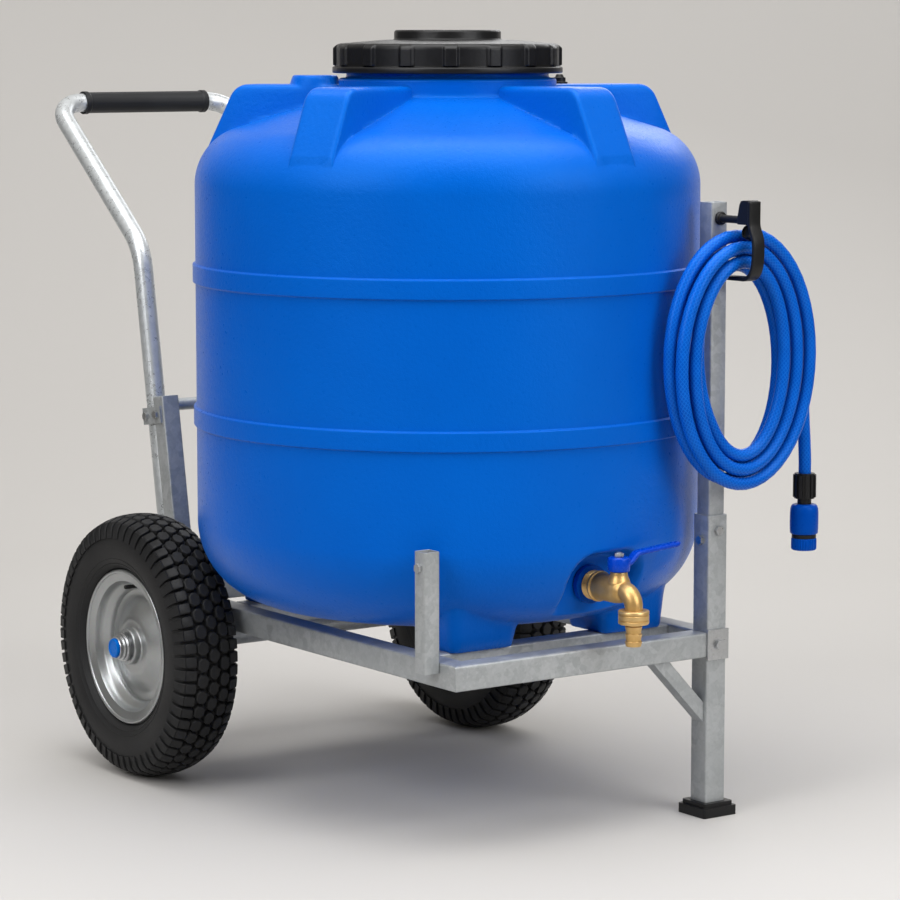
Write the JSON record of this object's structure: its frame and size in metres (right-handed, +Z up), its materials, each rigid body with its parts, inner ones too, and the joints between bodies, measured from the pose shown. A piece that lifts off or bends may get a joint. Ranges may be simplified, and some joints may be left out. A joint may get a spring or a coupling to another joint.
{
  "type": "wheeled water bowser",
  "caption": "Round moulded water tank on a two-wheeled galvanised cart with a push handle, front leg, screw lid, lever tap and a coiled hose on a hook.",
  "frame": {"origin": "on the floor, under the middle of the cart's box without the hose", "axes": "+Z up, the tap faces -Y, the handle is at +Y, the leg and hose post are at +X"},
  "size_m": [0.745, 1.3122, 1.1102],
  "materials": {
    "tank_blue": "satin",
    "lid_black": "satin",
    "black_plastic": "satin",
    "seal_rubber": "matte",
    "dark_blue_plastic": "satin",
    "tap_brass": "satin",
    "seat_plastic": "matte",
    "bright_steel": "satin",
    "lever_blue": "gloss",
    "galvanised": "spangled",
    "handle_zinc": "satin",
    "grip_rubber": "matte",
    "cap_blue": "satin",
    "tyre_rubber": "matte",
    "tube_rubber": "matte",
    "rim_silver": "satin",
    "hose_blue": "gloss"
  },
  "bodies": {
    "cart": {"tank": "tank_blue", "vent_valve": "black_plastic", "bulkhead_nut": "black_plastic", "hose_hook": "black_plastic", "hose_end_nut": "black_plastic", "hose_start_connector": "black_plastic", "leg_foot": "black_plastic", "bulkhead_seal": "seal_rubber", "bulkhead_fitting": "dark_blue_plastic", "hose_connector": "dark_blue_plastic", "tap_body": "tap_brass", "tap_union_nut": "tap_brass", "tap_hose_tail": "tap_brass", "tap_seats": "seat_plastic", "corner_bolt": "bright_steel", "corner_plate": "bright_steel", "post_bolts": "bright_steel", "stub_screw": "bright_steel", "handle_bolts": "bright_steel", "axle_shaft": "bright_steel", "axle_washers": "bright_steel", "axle_nuts": "bright_steel", "front_rail": "galvanised", "rear_rail": "galvanised", "left_rail": "galvanised", "right_rail": "galvanised", "front_cross_rail": "galvanised", "rear_cross_rail": "galvanised", "leg": "galvanised", "leg_brace": "galvanised", "post_socket": "galvanised", "hose_post": "galvanised", "stub_post": "galvanised", "left_upright": "galvanised", "right_upright": "galvanised", "upright_crossbar": "galvanised", "handle_plates": "galvanised", "axle_brackets": "galvanised", "axle_tube": "galvanised", "handle_tube": "handle_zinc", "handle_grip": "grip_rubber", "axle_caps": "cap_blue", "hose_coil": "hose_blue", "hose_tail": "hose_blue"},
    "lever": {"tap_lever": "lever_blue", "tap_stem": "bright_steel", "tap_ball": "bright_steel", "tap_lever_nut": "bright_steel"},
    "left_wheel": {"left_tyre": "tyre_rubber", "left_inner_tube": "tube_rubber", "left_rim": "rim_silver", "left_bearings": "bright_steel", "left_valve": "tube_rubber"},
    "right_wheel": {"right_tyre": "tyre_rubber", "right_inner_tube": "tube_rubber", "right_rim": "rim_silver", "right_bearings": "bright_steel", "right_valve": "tube_rubber"},
    "lid_seal": {"lid_gasket": "seal_rubber"},
    "lid_screw": {"lid": "lid_black"}
  },
  "joints": [
    {"name": "left_wheel_spin", "type": "hinge", "parent": "cart", "child": "left_wheel", "pos_m": [-0.302, 0.12838, 0.197], "axis": [1, 0, 0], "continuous": true},
    {"name": "right_wheel_spin", "type": "hinge", "parent": "cart", "child": "right_wheel", "pos_m": [0.302, 0.12838, 0.197], "axis": [1, 0, 0], "continuous": true},
    {"name": "tap_lever_turn", "type": "hinge", "parent": "cart", "child": "lever", "pos_m": [0.02, -0.60162, 0.387], "axis": [0, 0, -1], "range_deg": [0, 90]},
    {"name": "lid_rise", "type": "slide", "parent": "cart", "child": "lid_seal", "axis": [0, 0, 1], "range_m": [0, 0.024]},
    {"name": "lid_turn", "type": "hinge", "parent": "lid_seal", "child": "lid_screw", "pos_m": [0, -0.22462, 1.08], "axis": [0, 0, 1], "range_deg": [0, 720]}
  ],
  "couplings": [
    {"joint": "lid_rise", "follows": "lid_turn", "m_per_rad": 0.0019097}
  ]
}
